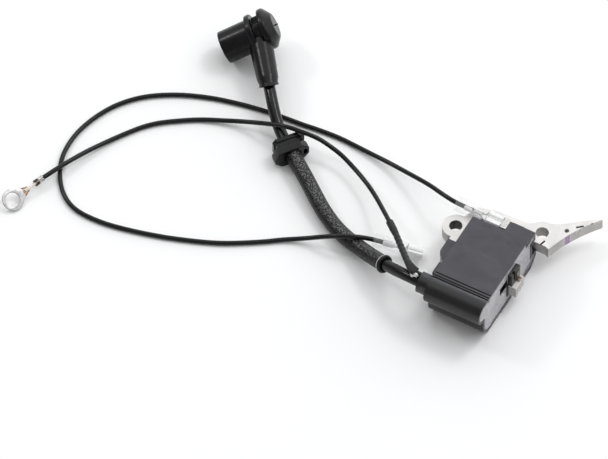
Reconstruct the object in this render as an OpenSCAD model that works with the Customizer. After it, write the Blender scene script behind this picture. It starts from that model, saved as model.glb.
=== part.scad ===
// Flywheel ignition coil for a small petrol engine: laminated core, potted coil housing,
// high tension lead with plug boot, earth wire with ring terminal and stop switch wire.
// Millimetres. +X runs out of the potted end of the housing, +Y towards the long pole shoe,
// +Z up. The origin is at the middle of the module's footprint, on the surface it lies on.

/* [Core] */
// Thickness of the lamination stack
core_t = 6; // [5:0.25:6.5]
// Height of the underside of the stack above the surface
core_z = 6; // [5.5:0.25:6.5]
// Radius of the two mounting holes
mount_r = 2.75; // [2.2:0.05:3]
// Outer radius of the ears around the mounting holes
ear_r = 5.8; // [5:0.1:6]
// Radius of the flywheel that the pole faces clear
flywheel_r = 65.6; // [63:0.2:70]

/* [Housing] */
// Height of the housing
body_h = 23; // [22.5:0.1:24]
// Thickness of the housing walls
wall = 1.2; // [0.9:0.1:1.4]
// Radius of the boss around the high tension lead
boss_r = 4.5; // [4.2:0.1:4.8]
// Width of the blade that the stop wire plugs on
blade_w = 4.8; // [4.2:0.1:4.8]

/* [Leads] */
// Radius of the high tension lead
lead_r = 2.5; // [2.3:0.05:2.5]
// Outer radius of the braided sleeve on the lead
sleeve_r = 3.5; // [3.2:0.05:3.5]
// Radius of the earth wire and of the stop wire
wire_r = 1; // [0.8:0.05:1]
// Radius of the ring terminal's hole
ring_hole_r = 3.2; // [2.1:0.05:3.3]

/* [Boot] */
// Radius of the boot's barrel
barrel_r = 7.2; // [6.8:0.1:7.4]
// Radius of the bore that takes the plug
plug_bore_r = 5.2; // [4.8:0.05:5.4]

/* [Hidden] */
$fn = 64;
// Small gap between parts that are potted or pushed together
gap = 0.1;
eps = 0.01;

// Housing walls along X, and the side faces of its main block
back_x = -15.5;
face_x = 10.5;
body_y0 = -29;
body_y1 = 5.7;
base_z = 0.6;

// The leg of the core that carries the coil
leg_y = -7.8;
leg_w = 7.4;
core_top = core_z + core_t;
leg_z = core_z + core_t / 2;
// The long arm along the housing's rear side
arm_y0 = 13.7;
arm_y1 = 20.6;
yoke_x0 = -21.5;
yoke_x1 = -15.7;
left_hole = [-23.2, 5.3];
right_hole = [10, 19.4];
flywheel_c = [79.6, -4.3];

// Grooves along the top, beside the boss: width and twice the depth
groove_y = [-26.9, -28.3, -29.7];
groove_size = [0.8, 1.1];

// Cap over the corner of the core: centre and radius of its round corner
cap_corner = [-18.2, -9.4];
cap_r = 4;

// Axis of the high tension lead where it leaves the boss
boss_y = -31.5;
boss_z = 18.5;
boss_x = -20;

// Coil build-up around the leg: each layer's outer size in Y and Z
bobbin_wall = 0.8;
bobbin_size = [leg_w + 2 * gap + 2 * bobbin_wall, core_t + 2 * gap + 2 * bobbin_wall];
primary_size = bobbin_size + [1.8, 1.8];
former_size = primary_size + [1.2, 1.2];
coil_size = former_size + [1.9, 1.9];
coil_x0 = -12.6;
coil_x1 = 8.6;

// Circuit board above the coil
board = [[-12.4, -15], [19, 17.5]];
board_z = 17;
board_t = 1.2;

// Straight stretch of the lead that the grommet slides on
run_dir = [-0.8, 0.6, 0];
grommet_c = [-105, 11, 5];
// Along its axis: the thick flange, the groove and the thin flange
grommet_x = [-3.3, 0.5, 2.5, 4.5];
thick_flange = [
    [-4.4, -5], [4.8, -5], [8, -2], [8.2, 0.6], [6.2, 4.2], [-4.2, 4.6], [-7.4, 1.8], [-7.4, -1.6]
];
thin_flange = [
    [-5, -4.6], [4.8, -4.6], [6.2, -2.4], [6.2, 3.2], [4.8, 4.8], [-5.2, 4.8], [-7.8, 2.8], [-7.8, -1]
];
grommet_waist = [11.4, 8.6];
second_wire_y = -5.7;

// Boot: where the stem's axis meets the barrel's axis, and how it lies
boot_c = [-143.5, 53.5, 12.9];
stem_v = [-5.5, 6.9, 1];
stem_len = 3 * norm(stem_v);
lead_in_stem = 1.5 * norm(stem_v);
boot_roll = 67.5;
boot_angle = 95.5;
// Barrel stations along its axis, from the stem's axis towards the mouth
mouth_at = 16;
back_at = -8;
clip_r = 3.1;

// Push-on connectors: where the wire enters each sleeve, and which way it points
blade_connector_at = [-27.5, 14, 14.7];
blade_connector_v = [1, 0, 0];
free_connector_at = [-51.4, -14.4, 7.2];
free_connector_v = [6.8, 1.95, -1.2];
free_connector_roll = -20;
connector_len = 23.5;
receptacle_x = [14.5, 21.5];
receptacle_size = [5.8, 2.1];
sleeve_end_r = 2.3;
sleeve_spread = 1.45;
film_t = 0.4;
blade_t = 0.8;
blade_root_y = 13.4;
blade_root_w = 2.6;

// Ring terminal: centre of its hole, direction of its tail and how far its plane leans
ring_c = [-194.3, -66, 3.4];
tail_v = [5.3, 15.8, 0];
ring_lean = 28;
ring_r = 4.6;
ring_t = 0.8;
plate_z = -1.3;

// Centre line of the high tension lead, from inside the boss to inside the boot's stem
lead_route = [
    [2, -31.5, 18.5], [-9, -31.5, 18.5], [-20, -31.5, 18.5], [-27, -30.6, 17.4],
    [-33.5, -28.6, 14.6], [-40.4, -26, 11.3], [-48.4, -22.7, 7.8], [-56, -19.4, 5.2],
    [-63.4, -17, 4], [-71.7, -13.3, 3.8], [-80.5, -7.6, 4], [-85.1, -4.1, 4.6], [-89, -1, 5],
    [-93, 2, 5], [-97, 5, 5], [-101, 8, 5], [-105, 11, 5], [-109, 14, 5], [-113, 17, 5],
    [-117.4, 21.2, 6.6], [-121.5, 25.9, 8.9], [-124.25, 29.35, 9.4], [-127, 32.8, 9.9],
    [-129.75, 36.25, 10.4], [-132.5, 39.7, 10.9], [-135.25, 43.15, 11.4]
];
// Stations of that route between which the braided sleeve lies
sleeve_stations = [5, 17];

// Centre line of the earth wire, from the boss to the ring terminal
earth_route = [
    [-20, -30, 21.4], [-23, -30.6, 22.2], [-26.5, -28.6, 22], [-30, -25.2, 20.3],
    [-34.5, -20.4, 18], [-41, -13.5, 15.5], [-47.8, -7, 13], [-54.4, -0.9, 10.5],
    [-61, 4.9, 8.4], [-68, 10, 7], [-76.5, 14.7, 6.4], [-84.2, 17.9, 6.8],
    [-90.3, 18.9, 8], [-96.2, 18.9, 9.8], [-104, 17.5, 11.4], [-111, 17.2, 10.7],
    [-118, 16.7, 8.2], [-124.5, 16.3, 5.5], [-131, 15.3, 3.3], [-139, 12.8, 1.8],
    [-147, 9.5, 1.1], [-154, 5.1, 1], [-161, 0, 1], [-166, -5, 1], [-170.3, -11, 1],
    [-175.3, -19.2, 1.3], [-180.4, -29.4, 2.4], [-185, -40.4, 3.4], [-189, -50.2, 3.4]
];
// Stations of that route between which the shrink sleeve lies
shrink_stations = [2, 6];

// Centre line of the stop switch wire, from the blade connector to the free connector
stop_route = [
    [-20.5, 14, 14.7], [-24, 14, 14.7], [-27.5, 14, 14.7], [-34, 15.6, 13.7],
    [-43, 19.1, 11], [-52, 22.3, 7.5], [-60, 24.7, 4.9], [-68, 26.6, 3], [-76, 27.8, 1.8],
    [-84, 28.7, 1.2], [-92, 29.2, 1], [-100.7, 28.7, 1], [-109.4, 27.8, 1], [-116.4, 27.4, 1],
    [-123.5, 26.8, 1], [-130.1, 25.8, 1], [-136.9, 24.6, 1], [-148.7, 21.6, 1],
    [-160.4, 17, 1], [-170.6, 10.9, 1], [-177.7, 4.4, 1], [-183.1, -3.4, 1], [-187.1, -13.1, 1],
    [-189.1, -23.2, 1], [-188.6, -33.4, 1], [-186.2, -40.7, 1], [-182.4, -47.3, 1],
    [-176.6, -53.3, 1], [-169.2, -56.7, 1], [-158.9, -57.2, 1], [-149.1, -55.9, 1],
    [-136.4, -52.9, 1], [-124, -49, 1], [-108.6, -42.7, 1], [-94.4, -34.2, 1],
    [-86.8, -28.9, 1.2], [-80.3, -25.6, 2.2], [-74.2, -23.5, 4.6], [-68.2, -22.1, 7.6],
    [-63.8, -21.1, 9.5], [-60.5, -19.9, 10.1], [-56.5, -17.6, 9.5], [-51.4, -14.4, 7.2],
    [-44.6, -12.45, 6]
];

// Direction of a route at a station, and the ring of points around it there
function unit(v) = v / norm(v);
function heading(route, i) = unit(route[min(i + 1, len(route) - 1)] - route[max(i - 1, 0)]);
function ring(route, i, r, sides) =
    let (t = heading(route, i), side = unit(cross(t, [0, 0, 1])), up = cross(side, t))
    [for (k = [0:sides - 1])
        route[i] + r * (cos(360 * k / sides) * side + sin(360 * k / sides) * up)];
// The two triangles of each quad between ring a and ring b of the same size
function band(a, b, sides) = [
    for (k = [0:sides - 1]) let (n = (k + 1) % sides)
        each [[a + k, b + k, b + n], [a + k, b + n, a + n]]
];
function rev(face) = [for (k = [len(face) - 1:-1:0]) face[k]];

// Solid tube along part of a route
module cord(route, r, sides, first, last) {
    rings = [for (i = [first:last]) each ring(route, i, r, sides)];
    count = last - first;
    sweep = [for (j = [0:count - 1]) each band(j * sides, (j + 1) * sides, sides)];
    start = [for (k = [0:sides - 1]) k];
    end = [for (k = [sides - 1:-1:0]) count * sides + k];
    polyhedron(points = rings, faces = concat(sweep, [start, end]));
}

// Hollow tube along part of a route
module hose(route, r, bore, sides, first, last) {
    count = last - first;
    inner = (count + 1) * sides;
    rings = concat(
        [for (i = [first:last]) each ring(route, i, r, sides)],
        [for (i = [first:last]) each ring(route, i, bore, sides)]
    );
    outside = [for (j = [0:count - 1]) each band(j * sides, (j + 1) * sides, sides)];
    inside = [for (j = [0:count - 1])
        for (f = band(inner + j * sides, inner + (j + 1) * sides, sides)) rev(f)];
    start = band(inner, 0, sides);
    end = band(count * sides, inner + count * sides, sides);
    polyhedron(points = rings, faces = concat(outside, inside, start, end));
}

// Turns +X onto direction v at point p
module along(p, v) {
    translate(p)
        rotate([0, -asin(v[2] / norm(v)), atan2(v[1], v[0])])
            children();
}

// Extrudes a (Y, Z) outline along X from x0 to x1
module along_x(x0, x1) {
    translate([x0, 0, 0])
        rotate([90, 0, 90])
            linear_extrude(x1 - x0)
                children();
}

module box_between(lo, hi) {
    translate(lo)
        cube(hi - lo);
}

// Rectangular ring in (Y, Z) around the coil leg
module leg_ring(outer, inner) {
    translate([leg_y, leg_z])
        difference() {
            square(outer, center = true);
            square(inner, center = true);
        }
}

module core_outline() {
    difference() {
        union() {
            translate(left_hole)
                circle(ear_r);
            translate(right_hole)
                circle(ear_r);
            // Yoke, with the web from the left ear to the long arm
            polygon([
                [yoke_x0, leg_y - leg_w / 2], [yoke_x1, leg_y - leg_w / 2],
                [yoke_x1, arm_y0], [yoke_x1, arm_y1 - 1.2], [yoke_x0 + 1, 17],
                [yoke_x0 - 0.4, 12], [yoke_x0 - 2, 10]
            ]);
            // Long arm, out to the long pole shoe
            polygon([
                [yoke_x0 + 1, arm_y0], [14.4, arm_y0], [16.6, 12.9], [19, 18], [29.4, 37.4],
                [28.4, 37.4], [24.2, 34.6], [20.5, 31.6], [16.8, 28.6], [13.2, 26.2], [8, 24.4],
                [2.6, 20.9], [-0.6, arm_y1 + 0.2], [-11.2, arm_y1 - 0.2], [-15.7, 19.4],
                [-19, 18.2], [yoke_x0 + 1, 17]
            ]);
            // Leg through the coil
            translate([yoke_x0, leg_y - leg_w / 2])
                square([14.6 - yoke_x0, leg_w]);
            translate([yoke_x0 + 3.5, 15.6])
                circle(2.9);
        }
        translate(flywheel_c)
            circle(flywheel_r, $fn = 360);
    }
}

module core_stack() {
    color("gainsboro")
        difference() {
            translate([0, 0, core_z])
                linear_extrude(core_t)
                    core_outline();
            for (hole = [left_hole, right_hole])
                translate([hole[0], hole[1], core_z - 1])
                    cylinder(h = core_t + 2, r = mount_r);
            // Staking marks in the top lamination, and the locating hole
            translate([18.5, 25.2, core_z - 1])
                cylinder(h = core_t + 2, r = 0.95);
            translate([26.2, 33.4, core_top - 0.5])
                cylinder(h = 1, r = 0.6);
            translate([22.3, 29.6, core_top - 0.4])
                rotate([0, 0, 40])
                    cube([3.2, 0.8, 1], center = true);
            translate([12.6, 14.9, core_top - 0.4])
                rotate([0, 0, 75])
                    cube([2.6, 0.8, 1], center = true);
        }
}

// (Y, Z) outlines of the housing, and the same outlines inside the walls
module main_outline(inset) {
    translate([body_y0 + inset, base_z + inset])
        square([body_y1 - body_y0 - 2 * inset, body_h - base_z - 2 * inset]);
}

module front_outline(inset) {
    translate([-31.7, body_h - 5.7])
        circle(5.7 - inset);
    translate([-33 + inset, 7.4])
        square([6, 8.8]);
    translate([-26, 7.4])
        circle(7 - inset);
}

module shoulder_outline(inset) {
    translate([body_y1 - 4, 15.8 + inset])
        square([10.7 - inset, 4.8 - 2 * inset]);
}

module lip_outline(inset) {
    polygon([
        [body_y1 - 4, base_z + inset], [9.2 - inset / 2, base_z + inset],
        [arm_y0 - 0.4 - inset, 4.6 + inset / 2], [arm_y0 - 0.4 - inset, 8 - inset],
        [9.4 - inset, 8 - inset], [9.4 - inset, 16.2 + inset], [body_y1 - 4, 16.2 + inset]
    ]);
}

module housing_shell() {
    mouth_x = face_x + eps;
    color("dimgray")
        difference() {
            union() {
                along_x(back_x, face_x)
                    main_outline(0);
                along_x(back_x, face_x)
                    front_outline(0);
                along_x(-1.4, face_x)
                    shoulder_outline(0);
                along_x(-8, face_x)
                    lip_outline(0);
                // Boss for the lead, with the ear that the earth wire comes out of
                along_x(boss_x, back_x + 1) {
                    translate([boss_y, boss_z])
                        circle(boss_r);
                    translate([-30, 21])
                        circle(1.9);
                }
                // Cap over the corner of the core, and the rib beside it
                translate([0, 0, core_top + 0.2])
                    linear_extrude(1.6) {
                        translate([cap_corner[0], cap_corner[1]])
                            circle(cap_r);
                        translate([cap_corner[0] - cap_r, cap_corner[1]])
                            square([back_x + 1 - cap_corner[0] + cap_r, 6.2]);
                        translate([cap_corner[0], cap_corner[1] - cap_r])
                            square([back_x + 1 - cap_corner[0], 6]);
                    }
                along_x(-17.2, back_x + 1)
                    translate([-26.3, 8])
                        square([6, 13]);
                // Two ribs that it stands on
                along_x(back_x, face_x) {
                    translate([-17.5, 0])
                        square([9, 2]);
                    translate([3.2, 0])
                        square([5.8, 2]);
                }
                // Carrier for the stop blade, over the long arm
                box_between([-1.4, 9, core_top + 0.4], [4, 15.2, 16.6]);
            }
            // Cavity, open at the potted end
            along_x(back_x + wall, mouth_x) {
                main_outline(wall);
                front_outline(wall);
            }
            along_x(-1.4 + wall, mouth_x)
                shoulder_outline(wall);
            along_x(-8 + wall, mouth_x)
                lip_outline(wall);
            // Window for the coil leg
            along_x(back_x - 1, back_x + 2)
                translate([leg_y, leg_z])
                    square([leg_w + 0.3, core_t + 0.3], center = true);
            // Bore for the lead
            along_x(boss_x - 1, back_x + 2)
                translate([boss_y, boss_z])
                    circle(lead_r + gap);
            // Slot for the root of the stop blade
            along_x(-2, 2.6)
                translate([blade_root_y, blade_connector_at[2]])
                    square([blade_root_w + 2 * gap, blade_t + 2 * gap], center = true);
            // Grooves beside the boss
            for (y = groove_y)
                along_x(back_x - 1, mouth_x)
                    translate([y, body_h])
                        square(groove_size, center = true);
        }
}

// Box around the whole coil, and the boxes of the parts on the board
coil_lo = [coil_x0, leg_y - coil_size[0] / 2, leg_z - coil_size[1] / 2];
coil_hi = [coil_x1, leg_y + coil_size[0] / 2, leg_z + coil_size[1] / 2];
board_lo = [board[0][0], board[0][1], board_z];
board_hi = [board[0][0] + board[1][0], board[0][1] + board[1][1], board_z + board_t];
deck = board_z + board_t;
transistor_lo = [-11, -13.4, deck];
transistor_hi = [-1, -5.4, deck + 2.8];
chip_lo = [0.5, -12, deck];
chip_hi = [5.4, -8, deck + 1.6];
collar_lo = [9, -11.4, core_top + 0.15];
collar_hi = [12.3, -4.2, 19];
pocket_lo = [8.3, -18.3, 12];
pocket_hi = [face_x + 1, -11.6, 17];
capacitor_at = [-10, -22.6, 8.4];
capacitor_len = 13;
capacitor_r = 3.8;
pin_xy = [for (x = [-11.4, 5.4], y = [-11.6, -4]) [x, y]];
resistor_y = [-3.4, -0.9, 1.2];

module resistor_row(r, len) {
    for (y = resistor_y)
        translate([-2, y, deck + 0.95])
            rotate([0, 90, 0])
                cylinder(h = len, r = r, center = true, $fn = 24);
}

// A box grown by the small gap on every side
module room(lo, hi) {
    box_between(lo - [gap, gap, gap], hi + [gap, gap, gap]);
}

module potting_compound() {
    skin = wall + 0.02;
    color("lightsteelblue")
        difference() {
            union() {
                along_x(back_x + skin, face_x - 0.15) {
                    main_outline(skin);
                    front_outline(skin);
                }
                along_x(-1.4 + skin, face_x - 0.15)
                    shoulder_outline(skin);
                along_x(-8 + skin, face_x - 0.15)
                    lip_outline(skin);
            }
            // Leg and the bobbin that fits on it
            along_x(back_x, face_x + 1)
                translate([leg_y, leg_z])
                    square(bobbin_size + [2 * gap, 2 * gap], center = true);
            room(coil_lo, coil_hi);
            room(board_lo, board_hi);
            room(transistor_lo, transistor_hi);
            room(chip_lo, chip_hi);
            room(collar_lo, collar_hi);
            box_between(pocket_lo, pocket_hi);
            resistor_row(0.95, 6.2);
            for (p = pin_xy)
                translate([p[0], p[1], coil_hi[2] - 1])
                    cylinder(h = board_z - coil_hi[2] + 1.5, r = 0.45, $fn = 16);
            translate(capacitor_at - [gap, 0, 0])
                rotate([0, 90, 0])
                    cylinder(h = capacitor_len + 2 * gap, r = capacitor_r + gap);
            // Lead and the pin at its end
            along_x(back_x, 2 + gap)
                translate([boss_y, boss_z])
                    circle(lead_r + gap);
            along_x(1, 8.2)
                translate([boss_y, boss_z])
                    circle(0.9);
        }
}

module primary_bobbin() {
    color("darkslategray")
        difference() {
            union() {
                along_x(back_x + wall + gap, face_x + 0.3)
                    leg_ring(bobbin_size, [leg_w + 2 * gap, core_t + 2 * gap]);
                for (x = [coil_x0, coil_x1 - 0.8])
                    along_x(x, x + 0.8)
                        leg_ring(primary_size, [leg_w + 2 * gap, core_t + 2 * gap]);
                // Collar that shows above the stub of the leg
                box_between(collar_lo, collar_hi);
            }
            box_between([11, -9.9, 14.2], [13, -8.4, 20]);
        }
}

module primary_winding() {
    color("peru")
        along_x(coil_x0 + 0.9, coil_x1 - 0.9)
            leg_ring(primary_size - [0.2, 0.2], bobbin_size + [0.1, 0.1]);
}

// Partitions of the secondary bobbin, evenly spaced
partitions = 7;
partition_t = 0.7;
pitch = (coil_x1 - coil_x0 - partition_t) / (partitions - 1);

module secondary_bobbin() {
    color("saddlebrown") {
        along_x(coil_x0, coil_x1)
            leg_ring(former_size, primary_size + [2 * gap, 2 * gap]);
        for (i = [0:partitions - 1])
            along_x(coil_x0 + i * pitch, coil_x0 + i * pitch + partition_t)
                leg_ring(coil_size, former_size - [0.2, 0.2]);
    }
}

module secondary_winding() {
    color("orangered")
        for (i = [0:partitions - 2])
            along_x(coil_x0 + i * pitch + partition_t + 0.05, coil_x0 + (i + 1) * pitch - 0.05)
                leg_ring(coil_size - [0.5, 0.5], former_size + [0.1, 0.1]);
}

module bobbin_pins() {
    color("silver")
        for (p = pin_xy)
            translate([p[0], p[1], coil_hi[2] + 0.02])
                cylinder(h = board_z - coil_hi[2] - 0.04, r = 0.35, $fn = 16);
}

module circuit_board() {
    color("seagreen")
        box_between(board_lo, board_hi);
}

module power_transistor() {
    color("black")
        difference() {
            box_between(transistor_lo, transistor_hi);
            translate([-9, -9.4, deck + 1.8])
                cylinder(h = 2, r = 1.2);
        }
}

module control_chip() {
    color("black")
        box_between(chip_lo, chip_hi);
}

module timing_capacitor() {
    color("goldenrod")
        translate(capacitor_at)
            rotate([0, 90, 0])
                cylinder(h = capacitor_len, r = capacitor_r);
}

module board_resistors() {
    color("tan")
        resistor_row(0.85, 6);
}

module high_voltage_pin() {
    color("gold")
        along_x(2.05, 8)
            translate([boss_y, boss_z])
                circle(0.8);
}

// Copper leaf that earths the winding on the stub of the leg
module core_contact() {
    color("sienna") {
        box_between([12.34, -7.6, core_top + 0.05], [12.64, -5.2, 17.6]);
        box_between([12.34, -7.6, core_top + 0.05], [13.7, -5.2, core_top + 0.35]);
    }
}

module stop_blade() {
    z = blade_connector_at[2];
    y = blade_connector_at[1];
    color("silver")
        translate([0, 0, z - blade_t / 2])
            linear_extrude(blade_t) {
                polygon([
                    [-13.2, y - blade_w / 2 + 0.8], [-12.2, y - blade_w / 2],
                    [-2, y - blade_w / 2], [-2, y + blade_w / 2],
                    [-12.2, y + blade_w / 2], [-13.2, y + blade_w / 2 - 0.8]
                ]);
                translate([-3, blade_root_y - blade_root_w / 2])
                    square([5.5, blade_root_w]);
            }
}

module high_tension_lead() {
    color("black")
        cord(lead_route, lead_r, 12, 0, len(lead_route) - 1);
}

module lead_sleeve() {
    color("darkslategray")
        hose(lead_route, sleeve_r, lead_r + 0.15, 12, sleeve_stations[0], sleeve_stations[1]);
}

module sleeve_collar() {
    i = sleeve_stations[0];
    color("black")
        along(lead_route[i], -heading(lead_route, i))
            difference() {
                along_x(0.05, 2.2)
                    circle(4.1);
                along_x(-1, 4)
                    circle(lead_r + 0.35);
            }
}

// Rectangle with round corners, centred
module rounded(size, r) {
    square([size[0] - 2 * r, size[1]], center = true);
    square([size[0], size[1] - 2 * r], center = true);
    for (x = [-1, 1], y = [-1, 1])
        translate([x * (size[0] / 2 - r), y * (size[1] / 2 - r)])
            circle(r, $fn = 32);
}

module lead_grommet() {
    color("black")
        along(grommet_c, run_dir)
            difference() {
                union() {
                    along_x(grommet_x[0], grommet_x[1])
                        polygon(thick_flange);
                    along_x(grommet_x[2], grommet_x[3])
                        polygon(thin_flange);
                    along_x(grommet_x[0] + 1, grommet_x[3] - 1)
                        rounded(grommet_waist, 1.6);
                }
                along_x(grommet_x[0] - 1, grommet_x[3] + 1) {
                    circle(sleeve_r + 0.08);
                    // Slot for a second wire
                    translate([second_wire_y, 0])
                        square([1.6, 1.6], center = true);
                    for (z = [-0.8, 0.8])
                        translate([second_wire_y, z])
                            circle(0.8, $fn = 32);
                }
            }
}

// The boot's own frame: +X along the stem, the barrel's axis turned from it
module in_boot() {
    along(boot_c, stem_v)
        rotate([boot_roll, 0, 0])
            children();
}

module on_barrel() {
    rotate([0, 90 + boot_angle, 0])
        children();
}

module plug_boot() {
    color("black")
        in_boot()
            difference() {
                union() {
                    on_barrel()
                        rotate_extrude()
                            polygon([
                                [0, back_at], [5.2, back_at], [9.05, -4.8], [9.05, -2.9],
                                [6.9, -2.9], [6.9, 0.7], [8.8, 0.7], [8.8, 3.1],
                                [barrel_r, 3.1], [barrel_r, mouth_at - 0.4],
                                [barrel_r - 0.4, mouth_at], [0, mouth_at]
                            ]);
                    rotate([0, -90, 0])
                        cylinder(h = stem_len, r1 = 5.4, r2 = 4);
                    rotate([0, -90, 0])
                        translate([0, 0, stem_len - 1.2])
                            cylinder(h = 1.2, r = 4.2);
                }
                on_barrel() {
                    translate([0, 0, 3.2])
                        cylinder(h = mouth_at, r = plug_bore_r);
                    translate([0, 0, -4.6])
                        cylinder(h = 8, r = clip_r + 0.15);
                }
                // Bore for the lead, then the narrow way to the clip
                rotate([0, -90, 0])
                    translate([0, 0, stem_len - lead_in_stem - 0.3])
                        cylinder(h = lead_in_stem + 2, r = lead_r + 0.07);
                rotate([0, -90, 0])
                    cylinder(h = stem_len - 2, r = 1);
            }
}

module boot_clip() {
    color("silver")
        in_boot()
            difference() {
                union() {
                    on_barrel()
                        translate([0, 0, -4.4])
                            cylinder(h = 7.4, r = clip_r);
                    rotate([0, -90, 0])
                        cylinder(h = stem_len - lead_in_stem - 0.9, r = 0.7, $fn = 24);
                }
                on_barrel()
                    translate([0, 0, -4])
                        cylinder(h = 10, r = clip_r - 0.4);
                // Slit that lets the clip spring open
                on_barrel()
                    translate([2, -0.5, -3])
                        cube([4, 1, 10]);
            }
}

module earth_wire() {
    color("black")
        cord(earth_route, wire_r, 8, 0, len(earth_route) - 1);
}

module earth_wire_sleeve() {
    color("black")
        hose(earth_route, 1.7, wire_r + 0.15, 8, shrink_stations[0], shrink_stations[1]);
}

module ring_terminal() {
    tail = norm(tail_v);
    color("silver")
        along(ring_c, tail_v)
            rotate([ring_lean, 0, 0])
                difference() {
                    union() {
                        translate([0, 0, plate_z]) {
                            cylinder(h = ring_t, r = ring_r);
                            linear_extrude(ring_t)
                                polygon([
                                    [1.5, -4.3], [6.5, -1.6], [6.5, 1.6], [1.5, 4.3]
                                ]);
                        }
                        // Open barrel that holds the strands, and its flared lips
                        along_x(5.6, 8.4)
                            circle(1.5);
                        along_x(5.6, 8.4)
                            translate([0, -0.95])
                                square([4.2, 0.5], center = true);
                        // Strip to the barrel that holds the insulation
                        box_between([8, -0.8, plate_z], [tail - 0.1, 0.8, -0.95]);
                        along_x(tail - 3.4, tail - 0.1)
                            circle(1.35);
                    }
                    translate([0, 0, plate_z - 1])
                        cylinder(h = 4, r = ring_hole_r);
                    along_x(5, tail + 1)
                        circle(0.9);
                }
}

// Strands between the end of the insulation and the ring terminal
module earth_strands() {
    tail = norm(tail_v);
    color("gainsboro")
        along(ring_c, tail_v)
            along_x(5.8, tail - 0.05)
                circle(0.85, $fn = 24);
}

module stop_wire() {
    color("black")
        cord(stop_route, wire_r, 8, 0, len(stop_route) - 1);
}

// Push-on connector: insulation barrel, strand barrel and blade receptacle on one strip
module connector() {
    size = receptacle_size;
    x0 = receptacle_x[0];
    x1 = receptacle_x[1];
    difference() {
        union() {
            along_x(4, 7.6)
                circle(wire_r + 0.45);
            along_x(8.8, 12)
                circle(0.95);
            box_between([4, -0.9, -1.05], [x0 + 0.5, 0.9, -0.6]);
            along_x(x0, x1)
                square(size, center = true);
        }
        along_x(3, 8.8)
            circle(wire_r + 0.05);
        along_x(x0 - 1, x1 + 1)
            square([blade_w + 0.2, blade_t + 0.2], center = true);
        along_x(x0 - 1, x1 + 1)
            translate([0, 1])
                square([1.4, 2], center = true);
    }
}

// Clear flat sleeve, open at both ends
module flat_tube(r) {
    square([2 * sleeve_spread, 2 * r], center = true);
    for (y = [-1, 1])
        translate([y * sleeve_spread, 0])
            circle(r);
}

module clear_sleeve() {
    difference() {
        along_x(0, connector_len)
            flat_tube(sleeve_end_r);
        along_x(-1, connector_len + 1)
            flat_tube(sleeve_end_r - film_t);
    }
}

module blade_connector() {
    color("silver")
        along(blade_connector_at, blade_connector_v)
            connector();
}

module blade_connector_sleeve() {
    color("whitesmoke")
        along(blade_connector_at, blade_connector_v)
            clear_sleeve();
}

module free_connector() {
    color("silver")
        along(free_connector_at, free_connector_v)
            rotate([free_connector_roll, 0, 0])
                connector();
}

module free_connector_sleeve() {
    color("whitesmoke")
        along(free_connector_at, free_connector_v)
            rotate([free_connector_roll, 0, 0])
                clear_sleeve();
}

core_stack();
housing_shell();
potting_compound();
primary_bobbin();
primary_winding();
secondary_bobbin();
secondary_winding();
bobbin_pins();
circuit_board();
power_transistor();
control_chip();
timing_capacitor();
board_resistors();
high_voltage_pin();
core_contact();
stop_blade();
high_tension_lead();
lead_sleeve();
sleeve_collar();
lead_grommet();
plug_boot();
boot_clip();
earth_wire();
earth_wire_sleeve();
earth_strands();
ring_terminal();
stop_wire();
blade_connector();
blade_connector_sleeve();
free_connector();
free_connector_sleeve();
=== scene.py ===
"""Looks of the flywheel ignition coil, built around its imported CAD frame. Lengths are in metres."""
import math

import bmesh
import bpy
import numpy as np
from mathutils import Matrix, Vector, geometry


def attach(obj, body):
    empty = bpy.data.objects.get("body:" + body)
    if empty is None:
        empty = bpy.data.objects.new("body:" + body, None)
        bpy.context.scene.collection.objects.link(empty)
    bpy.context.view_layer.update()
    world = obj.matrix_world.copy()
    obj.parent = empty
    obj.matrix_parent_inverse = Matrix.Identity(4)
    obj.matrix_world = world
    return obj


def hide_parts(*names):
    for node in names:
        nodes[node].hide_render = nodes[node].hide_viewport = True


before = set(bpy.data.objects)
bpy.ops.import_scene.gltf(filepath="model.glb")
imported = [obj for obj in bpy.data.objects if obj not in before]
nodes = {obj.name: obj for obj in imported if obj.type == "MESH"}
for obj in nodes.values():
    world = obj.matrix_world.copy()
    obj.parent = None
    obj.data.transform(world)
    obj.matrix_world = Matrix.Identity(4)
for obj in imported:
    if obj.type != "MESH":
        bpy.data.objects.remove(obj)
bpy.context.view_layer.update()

UP = np.array([0.0, 0.0, 1.0])
# Points closer than this are one point
WELD = 2e-6

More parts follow.
